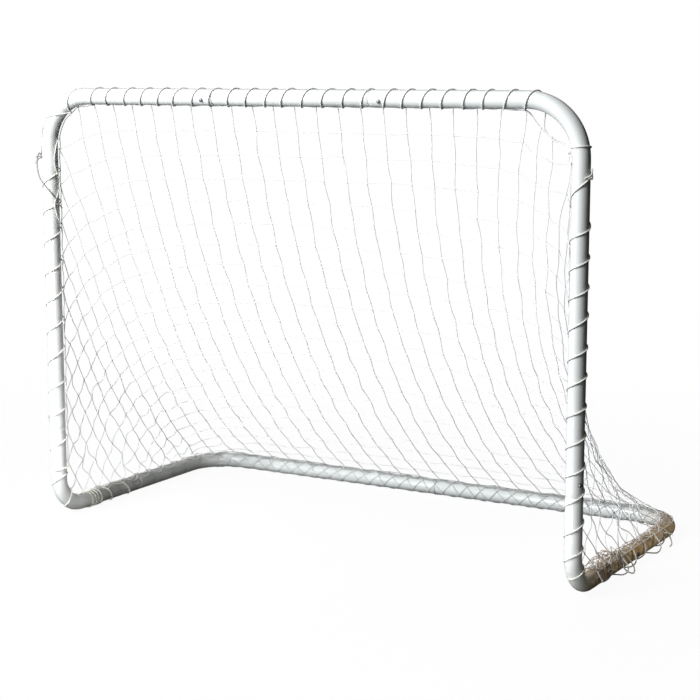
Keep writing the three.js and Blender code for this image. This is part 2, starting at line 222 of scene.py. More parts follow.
class Skin:
    """Gathers the rings and faces of many swept shapes, and makes one object of them."""

    def __init__(self):
        self.points = []
        self.faces = []
        self.count = 0

    def add(self, points, faces):
        self.points.append(np.asarray(points, float))
        self.faces.append(np.asarray(faces, int) + self.count)
        self.count += len(points)

    def rings(self, rings, closed=False):
        """Joins rings of the same number of points, in order, and caps the ends."""
        steps, sides = rings.shape[:2]
        i, j = np.meshgrid(np.arange(steps - 1 + closed), np.arange(sides), indexing="ij")
        after, beside = (i + 1) % steps, (j + 1) % sides
        quads = np.stack([i * sides + j, i * sides + beside, after * sides + beside, after * sides + j], -1)
        points = rings.reshape(-1, 3)
        faces = quads.reshape(-1, 4)
        if closed:
            self.add(points, faces)
            return
        tips = np.stack([rings[0].mean(0), rings[-1].mean(0)])
        side = np.arange(sides)
        beside = (side + 1) % sides
        first, last = np.full(sides, len(points)), np.full(sides, len(points) + 1)
        end = (steps - 1) * sides
        caps = [
            np.stack([first, beside, side, side], -1),
            np.stack([last, end + side, end + beside, end + beside], -1),
        ]
        self.add(np.concatenate([points, tips]), np.concatenate([faces, *caps]))

    def tube(self, path, radius, sides=6, closed=False):
        """A round cord along a path. The radius may be one number, or one for each point."""
        path = np.asarray(path, float)
        normals, binormals = carried_frames(path, closed)
        angle = np.arange(sides) / sides * 2 * math.pi
        radius = np.broadcast_to(radius, len(path))[:, None, None]
        across = normals[:, None] * np.cos(angle)[None, :, None]
        up = binormals[:, None] * np.sin(angle)[None, :, None]
        self.rings(path[:, None] + radius * (across + up), closed)

    def rope(self, path, radius, pitch, plies=3, sides=5):
        """A laid rope: plies that twist round each other along the path."""
        path = resampled(path, pitch / 8)
        normals, binormals = carried_frames(path, False)
        travel = travelled(path)
        for ply in range(plies):
            angle = 2 * math.pi * (travel / pitch + ply / plies)
            offset = normals * np.cos(angle)[:, None] + binormals * np.sin(angle)[:, None]
            self.tube(path + offset * radius * PLY_OFFSET, radius * PLY_RADIUS, sides)

    def make(self, name, material):
        points = np.concatenate(self.points)
        faces = np.concatenate(self.faces)
        mesh = bpy.data.meshes.new(name)
        corners = [face[:3] if face[2] == face[3] else face for face in faces.tolist()]
        mesh.from_pydata(points.tolist(), [], corners)
        mesh.polygons.foreach_set("use_smooth", np.ones(len(mesh.polygons), bool))
        mesh.materials.append(material)
        made = bpy.data.objects.new(name, mesh)
        bpy.context.scene.collection.objects.link(made)
        return made


def carried_frames(path, closed):
    """Two directions across the path at each point, turning as little as they can along it."""
    if closed:
        tangents = np.roll(path, -1, 0) - np.roll(path, 1, 0)
    else:
        tangents = np.gradient(path, axis=0)
    tangents /= np.linalg.norm(tangents, axis=1)[:, None]
    normals = np.empty_like(path)
    normal = np.cross(tangents[0], np.eye(3)[np.argmin(np.abs(tangents[0]))])
    for i, tangent in enumerate(tangents):
        normal = normal - tangent * (normal @ tangent)
        normal = normal / np.linalg.norm(normal)
        normals[i] = normal
    binormals = np.cross(tangents, normals)
    if closed:
        carried = normals[-1] - tangents[0] * (normals[-1] @ tangents[0])
        gap = math.atan2(carried @ binormals[0], carried @ normals[0])
        turn = -gap * np.arange(len(path)) / len(path)
        cosine, sine = np.cos(turn)[:, None], np.sin(turn)[:, None]
        normals, binormals = normals * cosine + binormals * sine, binormals * cosine - normals * sine
    return normals, binormals


def travelled(path):
    return np.concatenate([[0], np.cumsum(np.linalg.norm(np.diff(path, axis=0), axis=1))])


def resampled(path, step):
    """The same path with points at an even step."""
    path = np.asarray(path, float)
    travel = travelled(path)
    places = np.linspace(0, travel[-1], max(3, round(travel[-1] / step) + 1))
    return np.stack([np.interp(places, travel, path[:, axis]) for axis in range(3)], 1)


def smoothed(corners, steps):
    """A Catmull-Rom curve through the corners, with so many steps between each two."""
    corners = np.asarray(corners, float)
    padded = np.concatenate([[2 * corners[0] - corners[1]], corners, [2 * corners[-1] - corners[-2]]])
    out = []
    for a, b, c, d in zip(padded, padded[1:], padded[2:], padded[3:]):
        for step in range(steps):
            t = step / steps
            curve = 2 * a - 5 * b + 4 * c - d + t * (3 * (b - c) + d - a)
            out.append(b + 0.5 * t * (c - a + t * curve))
    out.append(corners[-1])
    return np.array(out)


def rider(piece, replaced=None, body="goal"):
    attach(piece, body)
    if replaced:
        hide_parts(replaced)
    return piece


# ---- Materials ----

class Shader:
    """A node tree, and short ways to add nodes to it."""

    def __init__(self, owner, coordinates="Object"):
        owner.use_nodes = True
        self.tree = owner.node_tree
        self.where = self.node("TexCoord").outputs[coordinates]

    def feed(self, name, inputs):
        """Sets a node's inputs. A value may be a number, a colour or another node's output."""
        made = self.tree.nodes[name]
        for key, value in inputs.items():
            socket = made.inputs[int(key[1:]) if key[1:].isdigit() else key.replace("_", " ")]
            if isinstance(value, bpy.types.NodeSocket):
                self.tree.links.new(value, socket)
            else:
                socket.default_value = value

    def node(self, kind, settings=None, **inputs):
        """A new shader node. An input is called by its name, or by _ and its number."""
        made = self.tree.nodes.new("ShaderNode" + kind)
        for name, value in (settings or {}).items():
            setattr(made, name, value)
        self.feed(made.name, inputs)
        return made

    def surface(self, **inputs):
        self.feed("Principled BSDF", inputs)

    def noise(self, scale, detail):
        return self.node("TexNoise", Vector=self.where, Scale=scale, Detail=detail).outputs["Fac"]

    def remapped(self, value, low, high, to_low=0.0, to_high=1.0):
        limits = {"From_Min": low, "From_Max": high, "To_Min": to_low, "To_Max": to_high}
        return self.node("MapRange", Value=value, **limits).outputs["Result"]

    def product(self, a, b):
        return self.node("Math", {"operation": "MULTIPLY"}, _0=a, _1=b).outputs[0]

    def blended(self, share, a, b):
        """Colour a where the share is 0 and colour b where it is 1."""
        return self.node("Mix", {"data_type": "RGBA"}, _0=share, _6=a, _7=b).outputs[2]

    def bumped(self, height, strength, distance):
        made = self.node("Bump", Height=height, Strength=strength, Distance=distance)
        return made.outputs["Normal"]


# Painted light on the ground tubes: the two browns are a painted reflection of grass with painted shade on
# the right rail, the dull grey is painted shade on the left rail, and the rear grey is painted shade on the
# rear bar.
REFLECTION_BROWN = (0.40, 0.25, 0.095, 1)
DARK_REFLECTION_BROWN = (0.13, 0.09, 0.04, 1)
LEFT_RAIL_SHADE_GREY = (0.27, 0.275, 0.265, 1)
REAR_SHADE_GREY = (0.60, 0.62, 0.61, 1)
CLOUDY_WHITE = (0.78, 0.80, 0.79, 1)
CLEAR_WHITE = (0.88, 0.895, 0.885, 1)
SCUFF_GREY = (0.50, 0.51, 0.48, 1)

# Where painted shade and a painted reflection of grass lie on the ground tubes: each pair is the place
# where that starts and where it ends.
LOW_SHADE_Z = (0.11, 0.03)
RIGHT_REFLECTION_X = (0.49, 0.575)
RIGHT_REFLECTION_Y = (FRONT_Y + 0.015, FRONT_Y + 0.07)
LEFT_SHADE_X = (-0.44, -0.57)
LEFT_SHADE_Y = (FRONT_Y + 0.05, FRONT_Y + 0.11)
LEFT_SHADE_FADE_Y = (0.0, 0.2)
REAR_SHADE_Y = (REAR_Y - 0.10, REAR_Y - 0.04)
REAR_SHADE_X = (0.50, 0.57)


def powder_coat():
    """Gloss white powder coat: faint cloudiness, a fine orange peel, and painted shade on the ground tubes.

    The right rail is painted brown in blotches, a painted reflection of grass and painted shade. The left
    one is painted dull grey and the rear bar pale grey, both painted shade."""
    material = bpy.data.materials.new("white_powder_coat")
    tree = Shader(material)
    axes = tree.node("SeparateXYZ", Vector=tree.where).outputs
    clouds = tree.noise(9.0, 3.0)
    patches = tree.remapped(tree.noise(28.0, 5.0), 0.28, 0.62, 0.66, 1.0)
    # A mask for the painted shade low on the ground tubes, broken into patches.
    low_painted_shade = tree.product(tree.remapped(axes["Z"], *LOW_SHADE_Z), patches)
    right = tree.remapped(axes["X"], *RIGHT_REFLECTION_X, 0.07, 0.97)
    right = tree.product(right, tree.remapped(axes["Y"], *RIGHT_REFLECTION_Y, 0.12, 1.0))
    left = tree.remapped(axes["X"], *LEFT_SHADE_X, 0.0, 0.95)
    behind_foot = tree.remapped(axes["Y"], *LEFT_SHADE_Y)
    fading = tree.remapped(axes["Y"], *LEFT_SHADE_FADE_Y, 1.0, 0.45)
    left = tree.product(left, tree.product(behind_foot, fading))
    rear = tree.remapped(axes["Y"], *REAR_SHADE_Y, 0.0, 0.8)
    rear = tree.product(rear, tree.remapped(axes["X"], *REAR_SHADE_X, 1.0, 0.0))
    blotches = tree.remapped(tree.noise(55.0, 4.0), 0.5, 0.66, 0.0, 0.75)
    scuffs = tree.remapped(tree.noise(190.0, 4.0), 0.66, 0.72, 0.0, 0.25)
    colour = tree.blended(clouds, CLOUDY_WHITE, CLEAR_WHITE)
    # Right rail: brown blotches of painted grass reflection and painted shade.
    colour = tree.blended(tree.product(low_painted_shade, right), colour, tree.blended(blotches, REFLECTION_BROWN, DARK_REFLECTION_BROWN))
    # Left rail: painted shade in grey, strongest just behind the foot and fading towards the rear.
    colour = tree.blended(tree.product(low_painted_shade, left), colour, LEFT_RAIL_SHADE_GREY)
    # Rear bar: painted shade in pale grey, fading out towards its right end.
    colour = tree.blended(tree.product(rear, patches), colour, REAR_SHADE_GREY)
    colour = tree.blended(scuffs, colour, SCUFF_GREY)
    tree.surface(
        Base_Color=colour,
        Roughness=tree.remapped(clouds, 0.2, 0.8, 0.22, 0.34),
        Coat_Weight=0.6,
        Coat_Roughness=0.1,
        Normal=tree.bumped(tree.noise(620.0, 1.0), 0.12, 0.25 * MM),
    )
    return material


def fibre(name, pale, shaded, grime, fuzz_scale, roughness):
    """Soft twisted fibres: uneven in colour, fuzzy, and greyer where they lie near the ground."""
    material = bpy.data.materials.new(name)
    tree = Shader(material)
    height = tree.node("SeparateXYZ", Vector=tree.where).outputs["Z"]
    uneven = tree.remapped(tree.noise(60.0, 3.0), 0.3, 0.7)
    colour = tree.blended(uneven, pale, shaded)
    # Darker and browner towards the ground, in patches.
    low_down = tree.product(tree.remapped(height, 0.11, 0.01, 0.0, 0.7), tree.noise(35.0, 3.0))
    colour = tree.blended(low_down, colour, grime)
    fuzz = tree.noise(fuzz_scale, 3.0)
    tree.surface(
        Base_Color=colour,
        Roughness=roughness,
        Sheen_Weight=0.3,
        Sheen_Roughness=0.5,
        Normal=tree.bumped(fuzz, 0.5, 0.3 * MM),
    )
    return material


def worn_steel(name, dark, bright, roughness_low, roughness_high):
    material = bpy.data.materials.new(name)
    tree = Shader(material)
    stains = tree.remapped(tree.noise(420.0, 4.0), 0.35, 0.65)
    worn = tree.node("NewGeometry").outputs["Pointiness"]
    edges = tree.remapped(worn, 0.5, 0.56)
    colour = tree.blended(edges, tree.blended(stains, dark, bright), (0.62, 0.63, 0.64, 1))
    tree.surface(
        Base_Color=colour,
        Metallic=0.9,
        Roughness=tree.remapped(stains, 0.0, 1.0, roughness_low, roughness_high),
        Normal=tree.bumped(tree.noise(1500.0, 2.0), 0.15, 0.1 * MM),
    )
    return material


PAINT = powder_coat()
TWINE = fibre(
    "white_net_twine", (0.87, 0.865, 0.875, 1), (0.74, 0.735, 0.75, 1), (0.42, 0.38, 0.30, 1), 900.0, 0.75
)
GREY_TWINE = fibre(
    "grey_net_twine", (0.62, 0.63, 0.63, 1), (0.44, 0.45, 0.45, 1), (0.30, 0.29, 0.24, 1), 900.0, 0.8
)
BROWNISH_TWINE = fibre(
    "earthy_net_twine", (0.62, 0.54, 0.48, 1), (0.40, 0.33, 0.28, 1), (0.30, 0.22, 0.15, 1), 900.0, 0.8
)
CORD = fibre(
    "white_lacing_cord", (0.86, 0.85, 0.80, 1), (0.72, 0.71, 0.67, 1), (0.50, 0.47, 0.36, 1), 1300.0, 0.7
)
# A grey copy of the white lacing cord: painted shade on the left post's knot and slack strands.
SHADE_GREY_CORD = fibre(
    "worn_lacing_cord", (0.46, 0.46, 0.44, 1), (0.26, 0.265, 0.26, 1), (0.30, 0.28, 0.22, 1), 1300.0, 0.8
)
ZINC = worn_steel("dull_zinc", (0.10, 0.10, 0.105, 1), (0.20, 0.20, 0.21, 1), 0.3, 0.5)
SPRING_STEEL = worn_steel("spring_steel", (0.34, 0.35, 0.37, 1), (0.50, 0.51, 0.53, 1), 0.22, 0.4)


# ---- Tubes ----

# Where the tubes plug together: the button's place on the tube's axis, the way the spigot points
# and the way the button faces.
tilt = CROSSBAR_BUTTON_TILT
ahead = point(0, -math.cos(tilt), -math.sin(tilt))
out_right = point(math.cos(POST_BUTTON_TURN), -math.sin(POST_BUTTON_TURN), 0)
out_left = point(-out_right[0], out_right[1], 0)
JOINTS = {
    "crossbar_left": (point(-CROSSBAR_JOINT_X, FRONT_Y, TOP_Z), -RIGHTWARD, ahead),
    "crossbar_right": (point(CROSSBAR_JOINT_X, FRONT_Y, TOP_Z), RIGHTWARD, ahead),
    "post_left": (point(-POST_X, FRONT_Y, POST_JOINT_Z), UPWARD, out_left),
    "post_right": (point(POST_X, FRONT_Y, POST_JOINT_Z), UPWARD, out_right),
    "rail_left": (point(-POST_X, RAIL_JOINT_Y, GROUND_Z), REARWARD, -RIGHTWARD),
    "rail_right": (point(POST_X, RAIL_JOINT_Y, GROUND_Z), REARWARD, RIGHTWARD),
    "rear": (point(REAR_JOINT_X, REAR_Y, GROUND_Z), -RIGHTWARD, REARWARD),
}


def shoulder(joint):
    place, spigot, _ = JOINTS[joint]
    return place - spigot * SPIGOT_LENGTH / 2


def socket(joint):
    return shoulder(joint) + JOINTS[joint][1] * JOINT_GAP


def plain_end(distance, outward):
    """The wall's section round the open end of a tube, from its outside to its inside."""
    outer, inner = TUBE_R, TUBE_R - WALL
    section = [(0.7, outer), (0.25, outer - 0.12 * MM), (0, outer - 0.45 * MM)]
    section += [(0, inner + 0.25 * MM), (0.25, inner)]
    return [(distance - outward * back * MM, radius) for back, radius in section]


def swaged_end(distance, outward):
    """The same round a shoulder and its spigot. The distance is the shoulder's."""
    outer, inner = SPIGOT_R, SPIGOT_R - WALL
    tip = distance + outward * SPIGOT_LENGTH
    section = []
    for share in (0.0, 0.2, 0.4, 0.6, 0.8, 1.0):
        swell = 0.5 + 0.5 * math.cos(share * math.pi)
        place = distance + outward * (share * SHOULDER_LENGTH - SHOULDER_LENGTH + 0.4 * MM)
        section.append((place, SPIGOT_R + (TUBE_R - SPIGOT_R) * swell))
    rim = [(0.6, outer), (0.15, outer - 0.2 * MM), (0, outer - 0.5 * MM)]
    rim += [(0, inner + 0.2 * MM), (0.2, inner)]
    section += [(tip - outward * back * MM, radius) for back, radius in rim]
    return section + [(distance, inner), (distance - outward * 2 * SHOULDER_LENGTH, TUBE_R - WALL)]


def along_tube(route, start, end, holes):
    """Distances for the rings of a tube: close together in bends and beside a button's hole."""
    places = {start, end}
    for bend_start, bend_end in route.bends:
        places.update(np.linspace(bend_start, bend_end, BEND_STEPS + 1))
    for hole in holes:
        places.update(hole + np.linspace(-3, 3, 13) * BUTTON_HOLE_R)
    low, high = min(start, end), max(start, end)
    margin = 0.5 * MM
    kept = [place for place in sorted(places) if low + margin < place < high - margin]
    return kept if start < end else kept[::-1]


def hole_drill(joint):
    """A drill for a button's hole, with a small countersink at the tube's outside."""
    place, _, out = JOINTS[joint]
    profile = [
        (DRILL_START, BUTTON_HOLE_R),
        (TUBE_R - 0.35 * MM, BUTTON_HOLE_R),
        (TUBE_R + 0.3 * MM, BUTTON_HOLE_R + COUNTERSINK),
        (DRILL_END, BUTTON_HOLE_R + COUNTERSINK),
    ]
    drill = Skin()
    across = unit(np.cross(out, point(0.3, 0.5, 0.8)))
    drill.rings(turned(profile, place, out, across, 40))
    return drill.make("drill", None)


def turned(profile, place, axis, across, sides):
    """Rings of a lathed shape: (height along the axis, radius) pairs."""
    angle = np.arange(sides) / sides * 2 * math.pi
    beside = np.cross(axis, across)
    spokes = np.cos(angle)[:, None] * across + np.sin(angle)[:, None] * beside
    return np.array([place + axis * height + spokes * radius for height, radius in profile])


def applied(piece):
    """Replaces a piece's mesh by what its modifiers make of it."""
    graph = bpy.context.evaluated_depsgraph_get()
    mesh = bpy.data.meshes.new_from_object(piece.evaluated_get(graph))
    piece.modifiers.clear()
    piece.data = mesh


def make_tube(name, corners, radius, ends, swaged):
    """A tube through its corners. ends names the joint at its start and the joint at its end."""
    route = Route(corners, radius)
    inset = SPIGOT_LENGTH / 2
    holes = []
    sections = []
    for joint, distance, outward in ((ends[0], 0.0, -1), (ends[1], route.length, 1)):
        if joint in swaged:
            sections.append(swaged_end(distance, outward))
            holes.append(distance + outward * inset)
        else:
            sections.append(plain_end(distance, outward))
            holes.append(distance - outward * (inset - JOINT_GAP))
    start, end = sections
    outside = [(place, TUBE_R) for place in along_tube(route, start[0][0], end[0][0], holes)]
    inside = [(place, TUBE_R - WALL) for place in along_tube(route, end[-1][0], start[-1][0], holes)]
    profile = start[::-1] + outside + end + inside
    angle = np.arange(TUBE_SIDES) / TUBE_SIDES * 2 * math.pi
    bends = [run for run in route.runs if run[0] == "bend"]
    binormal = np.cross(bends[0][3], bends[0][4]) if bends else REARWARD
    rings = []
    for place, ring_radius in profile:
        centre, tangent = route.at(place)
        across = unit(np.cross(binormal, tangent))
        spokes = np.cos(angle)[:, None] * across + np.sin(angle)[:, None] * binormal
        rings.append(centre + spokes * ring_radius)
    skin = Skin()
    skin.rings(np.array(rings), closed=True)
    tube = skin.make("painted_" + name, PAINT)
    drills = [hole_drill(joint) for joint in ends]
    for drill in drills:
        cut = tube.modifiers.new("hole", "BOOLEAN")
        cut.operation, cut.solver, cut.object = "DIFFERENCE", "EXACT", drill
    applied(tube)
    for drill in drills:
        bpy.data.objects.remove(drill)
    tube.data.set_sharp_from_angle(angle=math.radians(40))
    rider(tube, name)


middle_ends = ("crossbar_left", "crossbar_right")
middle_path = [shoulder(joint) for joint in middle_ends]
make_tube("crossbar_middle_tube", middle_path, TOP_BEND_R, middle_ends, middle_ends)
for side, sign in SIDES:
    crossbar, post, rail = "crossbar_" + side, "post_" + side, "rail_" + side
    top_corner = point(sign * POST_X, FRONT_Y, TOP_Z)
    foot = point(sign * POST_X, FRONT_Y, GROUND_Z)
    rear_corner = point(sign * POST_X, REAR_Y, GROUND_Z)
    rear_end = shoulder("rear") if side == "right" else socket("rear")
    upper_path = [socket(crossbar), top_corner, socket(post)]
    foot_path = [shoulder(post), foot, shoulder(rail)]
    rear_path = [socket(rail), rear_corner, rear_end]
    rear_swaged = ("rear",) if side == "right" else ()
    make_tube("upper_corner_tube_" + side, upper_path, TOP_BEND_R, (crossbar, post), ())
    make_tube("foot_bend_tube_" + side, foot_path, FOOT_BEND_R, (post, rail), (post, rail))
    make_tube("rear_corner_tube_" + side, rear_path, REAR_BEND_R, (rail, "rear"), rear_swaged)


# ---- Snap buttons ----

def make_button(joint):
    place, spigot, out = JOINTS[joint]
    neck = BUTTON_R - 0.25 * MM
    profile = [
        (FLANGE_BOTTOM, FLANGE_R - 0.2 * MM),
        (FLANGE_BOTTOM + 0.15 * MM, FLANGE_R),
        (FLANGE_TOP - 0.15 * MM, FLANGE_R),
        (FLANGE_TOP, FLANGE_R - 0.2 * MM),
        (FLANGE_TOP, neck),
        (FLANGE_TOP + 0.5 * MM, BUTTON_R),
        (BUTTON_SHOULDER, BUTTON_R),
    ]
    crown_steps = 10
    for step in range(1, crown_steps):
        turn = step / crown_steps * math.pi / 2
        rise = (BUTTON_TOP - BUTTON_SHOULDER) * math.sin(turn)
        profile.append((BUTTON_SHOULDER + rise, BUTTON_R * math.cos(turn)))
    skin = Skin()
    skin.rings(turned(profile, place, out, spigot, 40))
    button = skin.make("turned_button_" + joint, ZINC)
    button.data.set_sharp_from_angle(angle=math.radians(50))
    rider(button, "snap_button_" + joint, "button_" + joint)


def rounded_corner(before, corner, after, reach):
    """Points on a curve that cuts a corner off, from reach before it to reach past it."""
    start = corner + unit(before - corner) * reach
    end = corner + unit(after - corner) * reach
    return [blend(blend(start, corner, t), blend(corner, end, t), t) for t in (0.0, 0.25, 0.5, 0.75, 1.0)]


def clip_profile():
    """The middle of a clip's strip from its button's end to its foot: (along the tube, out) pairs."""
    centre = (CLIP_UPPER + CLIP_LOWER) / 2
    slope = math.atan2(CLIP_UPPER - centre, CLIP_FOLD - CLIP_FLAT)
    upper, lower = np.array((CLIP_FLAT, CLIP_UPPER)), np.array((CLIP_FLAT, CLIP_LOWER))
    fold = []
    for step in range(13):
        angle = (math.pi / 2 - slope) * (1 - step / 6)
        across, rise = CLIP_FOLD_R * math.cos(angle), CLIP_FOLD_R * math.sin(angle)
        fold.append(np.array((CLIP_FOLD + across, centre + rise)))
    first, last = np.array((-CLIP_FLAT, CLIP_UPPER)), np.array((-CLIP_FLAT, CLIP_LOWER))
    profile = [first] + rounded_corner(first, upper, fold[0], CLIP_BEND) + fold
    return np.array(profile + rounded_corner(fold[-1], lower, last, CLIP_BEND) + [last])


def make_clip(joint):
    """A leaf spring folded like a V. Its upper leaf gives way when the button on it is pressed."""
    place, spigot, out = JOINTS[joint]
    across = np.cross(-spigot, out)
    profile = clip_profile()
    tangents = np.gradient(profile, axis=0)
    tangents /= np.linalg.norm(tangents, axis=1)[:, None]
    half, side, edge = CLIP_GAUGE / 2, CLIP_WIDTH / 2, CLIP_EDGE
    quarter = [(half, side - edge), (half - edge, side)]
    section = [(a, -b) for a, b in quarter[::-1]] + quarter
    section += [(-a, b) for a, b in quarter[::-1]] + [(-a, -b) for a, b in quarter]
    rings = []
    for (along, rise), (run, climb) in zip(profile, tangents):
        middle = place - spigot * along + out * rise
        normal = out * run + spigot * climb
        rings.append([middle + normal * a + across * b for a, b in section])
    skin = Skin()
    skin.rings(np.array(rings))
    clip = skin.make("bent_leaf_clip_" + joint, SPRING_STEEL)
    clip.data.set_sharp_from_angle(angle=math.radians(30))
    rider(clip, "leaf_clip_" + joint)
    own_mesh(clip)


for joint in JOINTS:
    make_button(joint)
    make_clip(joint)


# ---- Net ----

BACK_COLUMNS = 23
WING_COLUMNS = 11
NET_ROWS = 22
NET_SAG = 94 * MM
PULL_ACROSS = 0.1
PULL_DOWN = 0.4
RELAX_ROUNDS = 2500
NET_TOP_LEFT = 0.75
NET_TOP_RIGHT = 0.45
NET_REAR_CORNER = 0.5
NET_POST_TOP = 775 * MM
NET_POST_BOTTOM = 120 * MM
NET_RAIL_FRONT = 94 * MM
EDGE_R = TUBE_R + TWINE_R + 0.15 * MM
ARCH_ANGLE = math.radians(35)
GROUND_ANGLE = math.radians(52)
LEFT_EDGE_R = 19 * MM
RIGHT_EDGE_LOW_R = 22 * MM
RIGHT_EDGE_HIGH_R = 34 * MM
CROSSBAR_EDGE_R = 18.8 * MM
CORNER_EDGE_R = 46 * MM
CORNER_MIDDLE = 0.876
CORNER_SPREAD = 0.062

KNOT_SCATTER = 1.6 * MM
LOOSE_SCATTER = 12 * MM
LOOSE_DROP = 16 * MM
ZIGZAG = 1.2 * MM
COLUMN_BOW = 1.2 * MM
ROW_BOW = 2.2 * MM
SLACK_BOW = 8 * MM

REAR_STRANDS = 6
REAR_TURNS_PER_CELL = 0.45
REAR_TWINE_R = 0.7 * MM
REAR_WANDER = 5 * MM
HEAP_TWINES = 12
HEAP_HEIGHT = 20 * MM


def wing_of(column):
    return max(-column, column - BACK_COLUMNS, 0)


def ramp(value, start, end):
    """0 before the start, 1 past the end and smooth between."""
    share = min(max((value - start) / (end - start), 0.0), 1.0)
    return share * share * (3 - 2 * share)


def edge_radius(distance):
    """How far the net's edge stands off the arch's axis. It cuts the right top corner short."""
    from_right = arch.length - distance
    right = blend(RIGHT_EDGE_LOW_R, RIGHT_EDGE_HIGH_R, ramp(from_right, 0.35, 0.65))
    radius = blend(CROSSBAR_EDGE_R, LEFT_EDGE_R, ramp(-distance, -0.86, -0.74))
    radius = blend(radius, right, ramp(-from_right, -0.82, -0.76))
    return max(radius, blend(radius, CORNER_EDGE_R, in_corner(distance)))


def in_corner(distance):
    """From 0 to 1: where the net's edge runs straight across the right top bend."""
    return math.exp(-(((arch.length - distance - CORNER_MIDDLE) / CORNER_SPREAD) ** 4))


def on_arch(distance, lift=0.0):
    angle = ARCH_ANGLE * (1 - 0.75 * in_corner(distance))
    return arch.wrapped(distance, angle, edge_radius(distance) + lift)


def on_ground(distance, lift=0.0):
    return ground.wrapped(distance, GROUND_ANGLE, EDGE_R + lift)


# Where the net's corners are tied, along the arch and along the ground route.
ARCH_LEFT = TOP_Z - TOP_BEND_R + NET_TOP_LEFT * math.pi / 2 * TOP_BEND_R
ARCH_RIGHT = arch.length - (TOP_Z - TOP_BEND_R + NET_TOP_RIGHT * math.pi / 2 * TOP_BEND_R)
REAR_LEFT = REAR_Y - REAR_BEND_R - FRONT_Y + NET_REAR_CORNER * math.pi / 2 * REAR_BEND_R
REAR_RIGHT = ground.length - REAR_LEFT


def held_knot(column, row):
    """The place of a knot that the lacing holds on a tube, or None for a free one."""
    wing = wing_of(column)
    on_left = column < BACK_COLUMNS / 2
    share = column / BACK_COLUMNS

    def own_side(distance, length):
        return distance if on_left else length - distance

    if wing == WING_COLUMNS:
        reach = FOOT_BEND_R - (FOOT_BEND_R - EDGE_R) * math.sqrt(0.5)
        return point(-POST_X if on_left else POST_X, FRONT_Y + reach, GROUND_Z + reach)
    if wing and row == wing:
        height = blend(NET_POST_TOP, NET_POST_BOTTOM, (wing - 1) / (WING_COLUMNS - 2))
        return on_arch(own_side(height, arch.length))
    if wing and row == NET_ROWS - wing:
        distance = blend(REAR_LEFT, NET_RAIL_FRONT, wing / (WING_COLUMNS - 1))
        return on_ground(own_side(distance, ground.length))
    if row == 0:
        return on_arch(blend(ARCH_LEFT, ARCH_RIGHT, share))
    if row == NET_ROWS:
        return on_ground(blend(REAR_LEFT, REAR_RIGHT, share))
    return None


def rows_of(column):
    return range(wing_of(column), NET_ROWS - wing_of(column) + 1)


def settled_net():
    """Every knot's place. A free knot settles between its four neighbours under the net's weight."""
    columns = range(-WING_COLUMNS, BACK_COLUMNS + WING_COLUMNS + 1)
    places = np.zeros((len(columns), NET_ROWS + 1, 3))
    free = np.zeros(places.shape[:2], bool)
    for column in columns:
        for row in rows_of(column):
            held = held_knot(column, row)
            start = blend(point(0, FRONT_Y, TOP_Z), point(0, REAR_Y, GROUND_Z), row / NET_ROWS)
            places[column + WING_COLUMNS, row] = start if held is None else held
            free[column + WING_COLUMNS, row] = held is None
    # Each knot's share of the weight that makes a column sag by NET_SAG at its middle.
    load = unit(point(0, GROUND_Z - TOP_Z, FRONT_Y - REAR_Y)) * 8 * PULL_DOWN * NET_SAG / NET_ROWS**2
    for _ in range(RELAX_ROUNDS):
        across = np.roll(places, 1, 0) + np.roll(places, -1, 0)
        down = np.roll(places, 1, 1) + np.roll(places, -1, 1)
        places[free] = (PULL_ACROSS * across + PULL_DOWN * down + load)[free]
    knots = {}
    for column in columns:
        for row in rows_of(column):
            place = places[column + WING_COLUMNS, row].copy()
            if free[column + WING_COLUMNS, row]:
                zigzag = ZIGZAG * (-1) ** (column + row)
                loose = looseness(column, row)
                place += scatter(KNOT_SCATTER + loose * LOOSE_SCATTER) + point(zigzag, 0, 0)
                place[2] -= loose * LOOSE_DROP
            knots[column, row] = place
    return knots


def scatter(size):
    return np.array([chance.gauss(0, size / 2) for _ in range(3)])


def thread(skin, ends, bow, droop):
    """One twine through a chain of knots, a little slack between each two."""
    if len(ends) < 2:
        return
    corners = [ends[0]]
    for a, b in zip(ends, ends[1:]):
        corners.append((a + b) / 2 + scatter(bow) - UPWARD * droop * chance.uniform(0.4, 1.3))
        corners.append(b)
    skin.tube(smoothed(corners, 4), TWINE_R)


def looseness(column, row):
    """From 0 to 1: the mesh hangs loosest low in the wings, and the right one is looser."""
    wing = wing_of(column) / WING_COLUMNS
    side = 0.35 if column < 0 else 1.0
    return side * 2 * min(wing, 0.5) * ramp(row / NET_ROWS, 0.35, 0.8)


def trefoil(radius, steps):
    """A closed path with an overhand knot's three crossings."""
    t = np.arange(steps) / steps * 2 * math.pi
    path = np.stack([np.sin(t) + 2 * np.sin(2 * t), np.cos(t) - 2 * np.cos(2 * t), -1.3 * np.sin(3 * t)], 1)
    return path * radius / 3


def turned_at_random(path):
    axes = np.linalg.qr(np.array([[chance.gauss(0, 1) for _ in range(3)] for _ in range(3)]))[0]
    return path @ axes


def make_twine_knots(name, places, material=TWINE):
    template = Skin()
    template.tube(trefoil(1.5 * MM, 20), 0.75 * MM, 5, closed=True)
    shape, faces = np.concatenate(template.points), np.concatenate(template.faces)
    skin = Skin()
    for place in places:
        skin.add(place + turned_at_random(shape), faces)
    rider(skin.make(name, material))


knots = settled_net()


